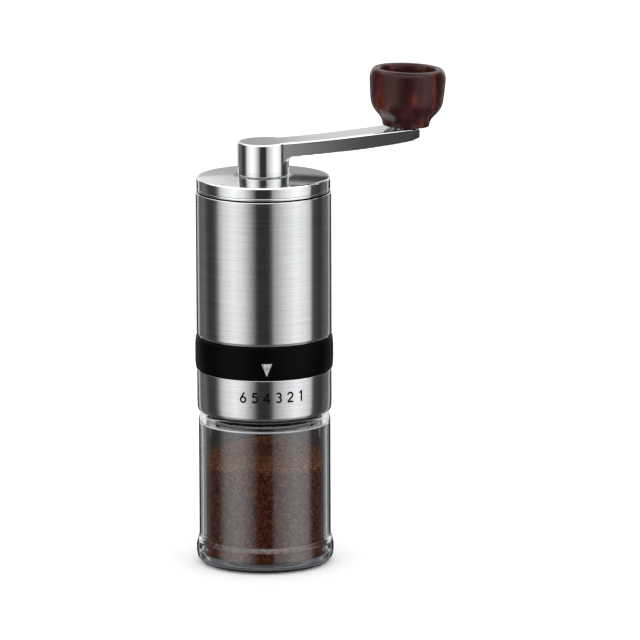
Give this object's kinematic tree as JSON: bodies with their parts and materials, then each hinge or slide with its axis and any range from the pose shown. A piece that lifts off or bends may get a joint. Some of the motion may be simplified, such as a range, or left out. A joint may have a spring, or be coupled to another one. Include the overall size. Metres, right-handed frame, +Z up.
{
  "type": "hand crank coffee grinder",
  "caption": "Slim hand crank coffee grinder: brushed steel hopper tube, numbered grind ring, screw-on glass jar of ground coffee and a lift-off crank with a wooden knob.",
  "frame": {"origin": "centre of the glass jar's flat base, on the grinder's own axis", "axes": "+Z up the grinder's axis, +X along the crank arm at rest, -Y towards the side with the pointer and numbers"},
  "size_m": [0.0971, 0.0533, 0.192],
  "materials": {
    "brushed_steel": "satin",
    "polished_steel": "polished",
    "dark_steel": "satin",
    "bronze": "satin",
    "black_plastic": "satin",
    "ceramic": "satin",
    "silicone": "matte",
    "jar_glass": "gloss",
    "knob_wood": "gloss",
    "coffee": "matte"
  },
  "bodies": {
    "housing": {"body_shell": "brushed_steel", "collar": "black_plastic", "pointer_mark": "polished_steel", "burr_housing": "black_plastic", "outer_burr": "ceramic", "burr_clamp_ring": "dark_steel", "burr_screw_1": "dark_steel", "burr_screw_2": "dark_steel", "burr_screw_3": "dark_steel", "top_bridge": "black_plastic", "upper_bush": "bronze", "dial_retainer": "dark_steel"},
    "grind_dial": {"number_ring": "brushed_steel", "dial_core": "black_plastic"},
    "carriage": {"carrier": "dark_steel", "guide_pin_1": "polished_steel", "guide_pin_2": "polished_steel", "guide_pin_3": "polished_steel", "lower_bush": "bronze", "burr_spring": "polished_steel"},
    "drive": {"drive_shaft": "polished_steel", "inner_burr": "ceramic", "thrust_washer": "bronze", "burr_nut": "dark_steel", "shaft_washer": "dark_steel", "shaft_clip": "dark_steel", "spring_washer": "dark_steel", "spring_clip": "dark_steel"},
    "lid": {"lid_cap": "brushed_steel", "lid_plug": "black_plastic", "lid_seal": "silicone"},
    "crank": {"crank_arm": "polished_steel", "knob_screw": "polished_steel", "knob_washer": "polished_steel"},
    "handle_knob": {"knob": "knob_wood", "knob_bush": "bronze"},
    "jar_seal": {"jar_gasket": "silicone"},
    "jar_unit": {"jar": "jar_glass", "ground_coffee": "coffee"}
  },
  "joints": [
    {"name": "dial_turn", "type": "hinge", "parent": "housing", "child": "grind_dial", "pos_m": [0, 0, 0.068], "axis": [0, 0, 1], "range_deg": [-30.6, 20.4]},
    {"name": "burr_gap", "type": "slide", "parent": "housing", "child": "carriage", "axis": [0, 0, 1], "range_m": [-0.00045, 0.00065], "deforming": ["burr_spring"]},
    {"name": "crank_spin", "type": "hinge", "parent": "carriage", "child": "drive", "pos_m": [0, 0, 0.1], "axis": [0, 0, 1], "continuous": true},
    {"name": "handle_lift", "type": "slide", "parent": "drive", "child": "crank", "axis": [0, 0, 1], "range_m": [0, 0.045]},
    {"name": "knob_spin", "type": "hinge", "parent": "crank", "child": "handle_knob", "pos_m": [0.0552, 0, 0.1694], "axis": [0.0419, 0, 0.9991], "continuous": true},
    {"name": "lid_lift", "type": "slide", "parent": "housing", "child": "lid", "axis": [0, 0, 1], "range_m": [0, 0.0315]},
    {"name": "jar_drop", "type": "slide", "parent": "housing", "child": "jar_seal", "axis": [0, 0, 1], "range_m": [-0.0127, 0]},
    {"name": "jar_turn", "type": "hinge", "parent": "jar_seal", "child": "jar_unit", "pos_m": [0, 0, 0], "axis": [0, 0, 1], "range_deg": [-540, 0]}
  ],
  "couplings": [
    {"joint": "burr_gap", "follows": "dial_turn", "m_per_rad": -0.0011236},
    {"joint": "lid_lift", "follows": "handle_lift", "ratio": 0.7},
    {"joint": "jar_drop", "follows": "jar_turn", "m_per_rad": 0.0013369}
  ]
}
